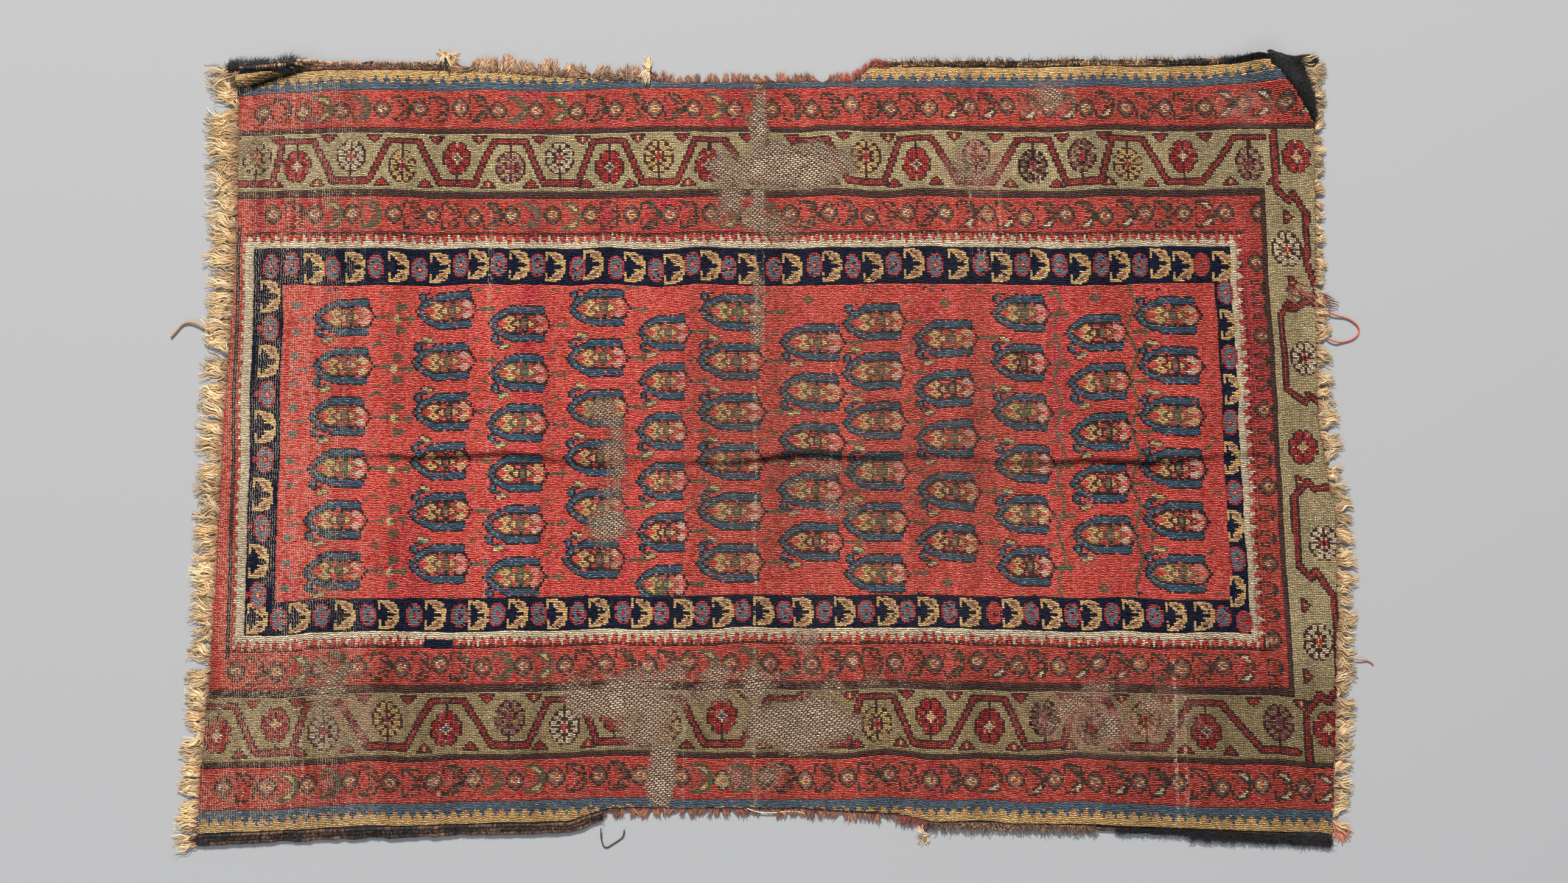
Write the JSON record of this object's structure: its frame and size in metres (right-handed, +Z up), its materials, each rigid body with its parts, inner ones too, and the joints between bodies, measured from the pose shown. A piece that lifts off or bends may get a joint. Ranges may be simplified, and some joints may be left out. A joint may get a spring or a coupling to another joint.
{
  "type": "rug",
  "caption": "Hand-knotted wool rug lying flat, with a boteh field, banded borders, goat-hair selvedges and ragged warp fringes at both ends.",
  "frame": {"origin": "bottom centre of the rug's box, without its loose yarns, on the ground it lies on", "axes": "+X along the warps towards the end with the wide olive border, +Y towards the far selvedge, +Z up through the pile"},
  "size_m": [1.6173, 1.0835, 0.0354],
  "materials": {
    "ground_weave": "matt woven brown and cream wool, worn",
    "coral_red_pile": "short worn wool pile with abrash",
    "navy_pile": "short worn wool pile",
    "ivory_pile": "short worn wool pile",
    "toothed_pile": "short worn wool pile in teeth of two colours",
    "brick_red_pile": "short worn wool pile",
    "dark_brown_pile": "low corroded wool pile",
    "olive_pile": "short worn wool pile",
    "blue_pile": "short worn wool pile",
    "gold_pile": "short worn wool pile",
    "goat_hair": "wiry black goat hair overcasting",
    "edge_cord": "plain wrapped wool cord, worn",
    "weft_wool": "frayed soft brown wool",
    "warp_wool": "loose golden cream wool ends",
    "tie_wool": "plain knotted cream wool",
    "red_yarn": "thin plied wool yarn",
    "pink_wool": "loose wool tuft",
    "black_string": "thin dark string"
  },
  "bodies": {
    "root": {"foundation": "ground_weave", "pile_field": "coral_red_pile", "pile_navy_border": "navy_pile", "pile_ivory_line": "ivory_pile", "pile_toothed_guard": "toothed_pile", "pile_inner_red_border": "brick_red_pile", "pile_inner_dark_line": "dark_brown_pile", "pile_olive_border": "olive_pile", "pile_outer_dark_line_far": "dark_brown_pile", "pile_outer_dark_line_near": "dark_brown_pile", "pile_outer_red_far": "brick_red_pile", "pile_outer_red_near": "brick_red_pile", "pile_blue_guard_far": "blue_pile", "pile_blue_guard_near": "blue_pile", "pile_gold_guard_far_left": "gold_pile", "pile_gold_guard_far_right": "gold_pile", "pile_gold_guard_near_left": "gold_pile", "pile_gold_guard_near_right": "gold_pile", "selvedge_far_left": "goat_hair", "selvedge_far_frayed": "edge_cord", "selvedge_far_right": "edge_cord", "selvedge_near_left": "goat_hair", "selvedge_near_middle": "edge_cord", "selvedge_near_right": "goat_hair", "weft_fray_far": "weft_wool", "weft_fray_near": "weft_wool", "fringe_left": "warp_wool", "fringe_right": "warp_wool", "curled_corner": "brick_red_pile", "curled_selvedge": "goat_hair", "curled_fringe": "warp_wool", "corner_tuft": "pink_wool", "tie_far_left": "tie_wool", "tie_far_middle": "tie_wool", "tie_near_middle": "tie_wool", "loop_yarn": "red_yarn", "curl_yarn": "warp_wool", "short_thread": "red_yarn", "stray_warp": "tie_wool", "tied_string": "black_string"}
  },
  "joints": []
}
